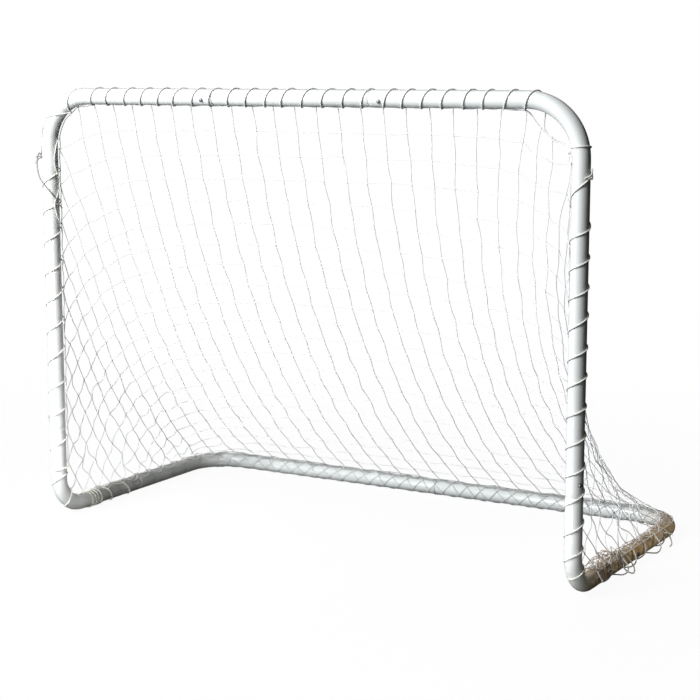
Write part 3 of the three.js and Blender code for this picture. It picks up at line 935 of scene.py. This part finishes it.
def make_panel(name, first, last):
    """A net node's twines, between two columns. The corner columns belong to the back."""
    skin = Skin()
    columns = range(first, last + 1)
    is_back = first == 0
    own = [column for column in columns if is_back or wing_of(column)]
    for column in own:
        chain = [knots[column, row] for row in rows_of(column)]
        slack = wing_of(column) / WING_COLUMNS * (1.0 if column > 0 else 0.6)
        thread(skin, chain, blend(COLUMN_BOW, SLACK_BOW, slack), 0)
    for row in range(NET_ROWS + 1):
        chain = [knots[column, row] for column in columns if row in rows_of(column)]
        loose = 0 if is_back else row / NET_ROWS
        thread(skin, chain, blend(ROW_BOW, SLACK_BOW, loose), blend(0.5 * MM, 2 * MM, loose))
    rider(skin.make("knotted_" + name, TWINE), name)
    tied = [knots[column, row] for column in own for row in rows_of(column)]
    make_twine_knots(name.replace("net", "twine_knots"), tied)


make_panel("net_wing_left", -WING_COLUMNS, 0)
make_panel("net_back", 0, BACK_COLUMNS)
make_panel("net_wing_right", BACK_COLUMNS, BACK_COLUMNS + WING_COLUMNS)


def edge_twine(skin, place_at, start, end, step, slack):
    """The net's edge twine along a tube: held at each step, a little loose between."""
    count = max(2, round(abs(end - start) / step))
    corners = []
    for i in range(2 * count + 1):
        distance = blend(start, end, i / (2 * count))
        lift = chance.uniform(0.2, 1.0) * slack if i % 2 else 0
        corners.append(place_at(distance, lift))
    skin.tube(smoothed(corners, 4), TWINE_R)


def gathered_twine(skin, start, end, angle, sway, step, height):
    """A twine of the gathered mesh that lies along a ground tube, swaying to and fro on it."""
    count = max(2, round(abs(end - start) / step))
    corners = []
    for i in range(count + 1):
        distance = blend(start, end, i / count) + chance.uniform(-0.25, 0.25) * step
        swayed = angle + sway * ((-1) ** i * chance.uniform(0.4, 1.0))
        radius = EDGE_R + chance.uniform(0, 1) * height
        corners.append(ground.wrapped(distance, math.radians(swayed), radius))
    skin.tube(smoothed(corners, 5), TWINE_R)
    return corners[1:-1:2]


def make_edge():
    skin = Skin()
    post_top, post_bottom = arch.length - NET_POST_TOP, arch.length - NET_POST_BOTTOM
    edge_twine(skin, on_arch, NET_POST_BOTTOM, ARCH_RIGHT, step=46 * MM, slack=2.5 * MM)
    edge_twine(skin, on_arch, ARCH_RIGHT, post_top, step=40 * MM, slack=1 * MM)
    edge_twine(skin, on_arch, post_top, post_bottom, step=52 * MM, slack=4 * MM)
    edge_twine(skin, on_ground, NET_RAIL_FRONT, REAR_LEFT, step=50 * MM, slack=3 * MM)
    edge_twine(skin, on_ground, REAR_RIGHT, ground.length - NET_RAIL_FRONT, step=50 * MM, slack=4 * MM)
    edge_twine(skin, on_ground, REAR_LEFT, REAR_RIGHT, step=47 * MM, slack=1.5 * MM)
    rider(skin.make("twine_net_edge", TWINE))


def lift_over_button(place):
    """How far a twine on the rear bar is lifted, where it crosses the button there."""
    away = math.hypot(place[0] - REAR_JOINT_X, place[2] - GROUND_Z)
    if place[1] < REAR_Y:
        return 0.0
    return ramp(-away, -9 * MM, -4.5 * MM) * (BUTTON_TOP - TUBE_R + 0.2 * MM)


def make_rear_wrapping():
    """The mesh gathered on the rear bar: crossing twines round it, and a thick edge along its top."""
    skin = Skin()
    turns_in_all = BACK_COLUMNS * REAR_TURNS_PER_CELL
    steps = round(turns_in_all * 24)
    for strand in range(REAR_STRANDS):
        direction = 1 if strand % 2 else -1
        sway = chance.uniform(0, 2 * math.pi)
        path = []
        for i in range(steps + 1):
            turns = turns_in_all * i / steps
            wander = REAR_WANDER * math.sin(turns * 5.1 + sway)
            distance = blend(REAR_LEFT, REAR_RIGHT, i / steps) + wander
            angle = GROUND_ANGLE + direction * (turns + strand / REAR_STRANDS) * 2 * math.pi
            lift = lift_over_button(ground.wrapped(distance, angle, TUBE_R))
            path.append(ground.wrapped(distance, angle, TUBE_R + REAR_TWINE_R + lift))
        skin.tube(path, REAR_TWINE_R, 5)
    tied = []
    for angle, height in ((100, 1.5 * MM), (115, 2 * MM), (82, 3 * MM)):
        tied += gathered_twine(skin, REAR_LEFT, REAR_RIGHT, angle, 14, 22 * MM, height)
    rider(skin.make("gathered_net_rear", GREY_TWINE))
    return tied


def make_rail_gathers():
    """Spare mesh lies along both rails, and a heap of it hangs over the right one behind the foot."""
    left, right = Skin(), Skin()
    tied = []
    for angle in (95, 120):
        tied += gathered_twine(left, 0.10, REAR_LEFT, angle, 22, 24 * MM, 4 * MM)
    right_front = ground.length - 0.080
    for angle in (75, 100, 125):
        tied += gathered_twine(right, right_front, REAR_RIGHT, angle, 25, 26 * MM, 5 * MM)
    for _ in range(HEAP_TWINES):
        middle = right_front - chance.uniform(0, 1) ** 1.5 * 0.17
        corners = []
        for angle in range(175, -10, -23):
            distance = middle + chance.uniform(-16, 16) * MM
            puff = HEAP_HEIGHT * math.exp(-(((angle - 110) / 45) ** 2)) * chance.uniform(0, 1)
            corners.append(ground.wrapped(distance, math.radians(angle), EDGE_R + puff))
        right.tube(smoothed(corners, 5), TWINE_R)
        tied += corners[1:-1:2]
    rider(left.make("gathered_net_rail_left", TWINE))
    rider(right.make("gathered_net_rail_right", BROWNISH_TWINE))
    return tied


make_edge()
make_twine_knots("twine_knots_rear", make_rear_wrapping(), GREY_TWINE)
make_twine_knots("twine_knots_rails", make_rail_gathers(), BROWNISH_TWINE)


# ---- Lacing ----

LACING_R = TUBE_R + CORD_R + 0.1 * MM
ROPE_PITCH = 8.5 * MM
LACING_STEPS = 32
CORD_LOWEST = CORD_R * 1.1


def lacing_radius(away, peak):
    """Round the tube, and straight out to the net's edge and back where the cord passes over it."""
    reach = math.acos(min(LACING_R / peak, 1.0))
    return LACING_R / math.cos(max(0.0, reach - math.hypot(away, 0.07)))


def turned_between(angle, middle):
    return (angle - middle + math.pi) % (2 * math.pi) - math.pi


def lacing_path(route, edge_angle, edge_at, windings, wander, loose_at=None):
    """A cord's turns round a tube and over the net's edge.

    windings lists distances along the tube with the turns made by then. loose_at gives an angle
    in degrees where the turns sag off the tube, and by how much at most."""
    phases = [chance.uniform(0, 2 * math.pi) for _ in range(3)]
    path = []
    for (distance_a, turns_a), (distance_b, turns_b) in zip(windings, windings[1:]):
        steps = round(abs(turns_b - turns_a) * LACING_STEPS)
        for step in range(steps + (windings[-1] == (distance_b, turns_b))):
            turns = blend(turns_a, turns_b, step / steps)
            drift = sum(math.sin(turns * rate + phase) for rate, phase in zip((1.9, 3.1, 5.3), phases))
            distance = blend(distance_a, distance_b, step / steps) + wander * drift / 2
            angle = turns * 2 * math.pi
            peak = edge_at(distance) + TWINE_R + CORD_R
            radius = lacing_radius(turned_between(angle, edge_angle), peak)
            if loose_at:
                away = turned_between(angle, math.radians(loose_at[0])) / math.radians(38)
                sag = 0.5 + 0.5 * math.sin(turns * 2.3 + phases[0])
                radius += loose_at[1] * sag * math.exp(-(away**2))
            place = route.wrapped(distance, angle, radius)
            place[2] = max(place[2], CORD_LOWEST)
            path.append(place)
    return path


def frayed_end(skin, start, direction, length, curl):
    """A cut end of cord whose plies have come apart."""
    direction = unit(direction)
    across = unit(np.cross(direction, point(0.3, 0.2, 0.9)))
    for ply in range(6):
        spread = across * chance.uniform(-1, 1) + np.cross(direction, across) * chance.uniform(-1, 1)
        corners = [start]
        for step in (0.35, 0.7, 1.0):
            corners.append(start + direction * length * step + (spread * 0.25 + curl) * length * step**2)
        radii = np.linspace(CORD_R * 0.42, CORD_R * 0.16, 3 * 5 + 1)
        skin.tube(smoothed(corners, 5), radii, 5)


def make_knot(replaced, loose_ends, material=CORD):
    """An overhand knot with two short ends, in the place of its CAD stand-in. Their lengths are in mm."""
    low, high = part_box(replaced)
    place = np.array((low + high) / 2)
    skin = Skin()
    skin.tube(place + turned_at_random(trefoil(2.6 * MM, 48)), CORD_R * 0.95, 8, closed=True)
    for direction, length in loose_ends:
        frayed_end(skin, place, direction, length * MM, -0.4 * UPWARD)
    rider(skin.make("tied_" + replaced, material), replaced)


def make_cord(name, path, material=CORD):
    """A cord along a path. It replaces the CAD node of its name, if there is one."""
    skin = Skin()
    skin.rope(path, CORD_R, ROPE_PITCH)
    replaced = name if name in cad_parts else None
    rider(skin.make("braided_" + name, material), replaced)


def beside(route, stations):
    """Places beside a route. Each station is a distance, an angle in degrees and a radius in mm."""
    return [route.wrapped(d, math.radians(angle), radius * MM) for d, angle, radius in stations]


def make_loose_cord(name, route, stations, material=CORD):
    """A slack stretch of cord through its stations."""
    path = smoothed(beside(route, stations), 10)
    path[:, 2] = np.maximum(path[:, 2], CORD_LOWEST)
    make_cord(name, path, material)


def rail_edge(distance):
    return EDGE_R + 1 * MM


def no_edge(distance):
    return TUBE_R


# Distances by the right post and the right rail are counted back from these ends.
A, G = arch.length, ground.length

left_post = lacing_path(arch, ARCH_ANGLE, edge_radius, [(0.108, 0), (0.757, 10.5)], 3 * MM)
make_cord("left_post_lacing", left_post)
# The left post's knot is greyed with painted shade.
make_knot("left_post_knot", [((-1, -0.3, -0.5), 15), ((-0.6, -0.8, 0.5), 12)], SHADE_GREY_CORD)

# The crossbar's cord: a first turn by the left corner, the spiral, then round the right corner.
first_turn = beside(arch, [
    (0.822, 182, 17.6), (0.832, 218, 17.6), (0.844, 256, 17.6), (0.858, 296, 17.6), (0.871, 330, 18),
    (0.880, 350, 19.5), (0.885, 362, 20.5),
])
corner_cord = beside(arch, [
    (A - 0.911, 45, 26), (A - 0.904, 22, 36), (A - 0.893, 12, 43.5), (A - 0.876, 9, 47.5),
    (A - 0.856, 8, 47.5), (A - 0.840, 4, 44), (A - 0.825, 0, 33), (A - 0.815, -14, 24),
    (A - 0.809, -38, 18.5),
])
corner_cord += beside(arch, [(A - 0.806 + 0.001 * i, -60 - 298 * i / 9, 17.5) for i in range(10)])
windings = [(0.886, -2), (0.941, -2.75), (1.40, -13.87), (1.62, -19.0)]
windings += [(A - 0.918, -26.75), (A - 0.9165, -26.82)]
crossbar = lacing_path(arch, ARCH_ANGLE, edge_radius, windings, 2.5 * MM)
crossbar = list(smoothed(first_turn + [crossbar[0]], 10)[:-1]) + crossbar
crossbar += list(smoothed([crossbar[-1]] + corner_cord, 10)[1:])
make_cord("crossbar_lacing", crossbar)
make_knot("crossbar_knot", [((1, -0.3, -0.5), 9), ((0.4, -0.6, -1), 12)])

windings = [(A - 0.778, 0), (A - 0.752, 0.5), (A - 0.666, 1.5), (A - 0.118, 12)]
right_post = lacing_path(arch, ARCH_ANGLE, edge_radius, windings, 2.5 * MM)
make_cord("right_post_lacing", right_post)
make_loose_cord("right_post_start", arch, [
    (A - 0.752, 228, 17.8), (A - 0.754, 210, 18.4), (A - 0.757, 194, 20), (A - 0.763, 184, 20.5),
    (A - 0.767, 172, 19), (A - 0.761, 162, 18), (A - 0.753, 168, 19.5), (A - 0.750, 184, 20),
    (A - 0.753, 198, 19.5),
])
make_knot("right_post_knot", [((0.5, 0.4, 1), 6), ((0.6, 0.9, -0.8), 5)])

left_rail = lacing_path(ground, GROUND_ANGLE, rail_edge, [(0.084, 0), (0.124, 4), (0.244, 6)], 1 * MM)
make_cord("left_rail_lacing", left_rail)
make_knot("left_rail_knot", [((-1, 0.4, 0.2), 10), ((0.4, 1, 0.3), 12)])

windings = [(G - 0.084, 0), (G - 0.430, 6)]
right_rail = lacing_path(ground, GROUND_ANGLE, rail_edge, windings, 4 * MM, (-18, 15 * MM))
make_cord("right_rail_lacing", right_rail)
make_knot("right_rail_knot", [((1, 0.3, 0.2), 14), ((0.6, 1, 0.4), 10)])

# The cords go on round the feet.
FOOT_RUN = 0.30
FOOT_WINDINGS = {
    "left": [(0.192, 0.25), (0.206, 1.25), (0.262, 2.25), (0.302, 3.1)],
    "right": [(0.182, 0.25), (0.228, 1.25), (0.258, 2.25), (0.280, 2.6)],
}
foot_corners = ((FRONT_Y, FOOT_RUN), (FRONT_Y, GROUND_Z), (FRONT_Y + FOOT_RUN, GROUND_Z))
for side, sign in SIDES:
    corners = [point(sign * POST_X, y, z) for y, z in foot_corners]
    foot_route = Route(corners, FOOT_BEND_R, -sign * RIGHTWARD)
    make_cord(side + "_foot_lacing", lacing_path(foot_route, 0, no_edge, FOOT_WINDINGS[side], 1 * MM))

# Slack stretches on the left post, by its knot, and cord that lies by the feet and the right rail.
# The first two on the left post are greyed with painted shade.
make_loose_cord("left_post_strand", arch, [
    (0.823, 180, 18), (0.810, 188, 19.5), (0.790, 186, 18), (0.772, 192, 19), (0.760, 198, 20),
], SHADE_GREY_CORD)
make_loose_cord("left_post_loop", arch, [
    (0.762, 198, 20), (0.768, 202, 23), (0.757, 206, 27), (0.738, 214, 27), (0.718, 232, 23),
    (0.704, 262, 18.5), (0.694, 290, 18), (0.680, 325, 18), (0.664, 360, 19), (0.655, 385, 22),
], SHADE_GREY_CORD)
make_loose_cord("left_post_slack", arch, [
    (0.800, 375, 19), (0.788, 360, 18), (0.770, 343, 18.5), (0.752, 334, 19.5), (0.735, 345, 18.5),
    (0.716, 372, 19), (0.700, 378, 19), (0.682, 352, 18.5), (0.664, 330, 19), (0.640, 345, 19),
    (0.620, 378, 20),
])
make_loose_cord("left_foot_loop", ground, [
    (0.052, 300, 18), (0.046, 330, 21), (0.040, 345, 26), (0.050, 350, 29), (0.058, 340, 25),
    (0.056, 315, 19),
])
make_loose_cord("right_rail_hook", ground, [
    (G - 0.205, 60, 18), (G - 0.200, 20, 19), (G - 0.195, -12, 24), (G - 0.208, -26, 35),
    (G - 0.222, -27, 37), (G - 0.232, -20, 30), (G - 0.230, 5, 21), (G - 0.226, 50, 18),
])
make_loose_cord("right_rail_tail", ground, [
    (G - 0.43, 80, 18), (G - 0.44, 30, 18.5), (G - 0.445, -8, 23), (G - 0.440, -28, 33),
    (G - 0.425, -30, 35),
])


# ---- Floor, lights and world ----

WHITE = (1.0, 1.0, 1.0)
FLOOR_WHITE = (0.9, 0.9, 0.9, 1)
FLOOR_HALF = 2.6
FLOOR_OPACITY = 0.06

# The world's light comes mostly from this way.
BRIGHT_WAY = (-0.72, -0.6, 0.35)
BRIGHT_SKY = (0.70, 0.77, 0.86, 1)
DIM_SKY = (0.009, 0.010, 0.002, 1)


def make_floor():
    """A pale floor that fades out round the goal."""
    material = bpy.data.materials.new("pale_floor")
    tree = Shader(material)
    away = tree.node("VectorMath", {"operation": "LENGTH"}, _0=tree.where).outputs["Value"]
    opacity = tree.remapped(away, 0.6, 2.2, FLOOR_OPACITY, 0.0)
    tree.surface(Base_Color=FLOOR_WHITE, Roughness=0.9, Alpha=opacity)
    skin = Skin()
    half = FLOOR_HALF
    skin.add([(-half, -half, 0), (half, -half, 0), (half, half, 0), (-half, half, 0)], [(0, 1, 2, 3)])
    skin.make("floor", material)


def make_light(name, place, aim, size, watts, colour=WHITE, spread=180):
    """A soft lamp. The size is its width and its height."""
    light = bpy.data.lights.new(name, "AREA")
    light.shape = "RECTANGLE"
    light.size, light.size_y = size
    light.energy = watts
    light.color = colour
    light.spread = math.radians(spread)
    lamp = aimed(name, light, place, aim)
    lamp.visible_camera = False
    return lamp


def make_world():
    """White where it is seen. As a light it is bright on the left and in front, and dim on the right."""
    world = bpy.data.worlds.new("studio")
    bpy.context.scene.world = world
    tree = Shader(world, "Generated")
    facing = tree.node("VectorMath", {"operation": "DOT_PRODUCT"}, _0=tree.where, _1=BRIGHT_WAY)
    share = tree.remapped(facing.outputs["Value"], 0.25, 0.9)
    glow = tree.blended(share, DIM_SKY, BRIGHT_SKY)
    seen = tree.node("LightPath").outputs["Is Camera Ray"]
    tree.feed("Background", {"Color": tree.blended(seen, glow, (*WHITE, 1))})


make_floor()
make_light("key", (-0.95, -3.5, 2.8), (0, 0, 0.4), (1.2, 1.2), watts=150, colour=(1.0, 0.99, 0.97))
make_light("front", (-0.75, -1.5, 0.9), (-0.25, 0, 0.7), (0.35, 1.6), watts=14, colour=(0.96, 0.98, 1.0))
make_light("left_foot", (0.3, -1.25, 0.45), (-0.58, -0.12, 0.02), (0.3, 0.3), watts=0.9, spread=50)
make_light(
    "right_foot", (0.45, -1.4, 0.06), (0.58, -0.29, 0.03), (0.2, 0.2),
    watts=0.13, colour=(1.0, 1.0, 0.97), spread=30,
)
bounce = make_light(
    "bounce", (1.15, 0.45, 0.35), (0.58, 0.04, 0.02), (0.25, 0.15),
    watts=0.2, colour=(1.0, 0.93, 0.80), spread=40,
)
bounce.visible_glossy = False
on_net = make_light("on_net", (0.5, -2.4, 0.1), (0.2, 0.25, 0.05), (0.8, 0.8), watts=3.4, spread=60)
lit_net = bpy.data.collections.new("lit_net")
for name in ("knotted_net_back", "twine_knots_back"):
    lit_net.objects.link(bpy.data.objects[name])
on_net.light_linking.receiver_collection = lit_net
rear = make_light("rear", (-1.3, 3.2, 0.7), (0, 0.2, 0.45), (1.4, 1.0), watts=60)
rear.visible_glossy = False
make_world()
bpy.context.scene.view_settings.view_transform = "Standard"
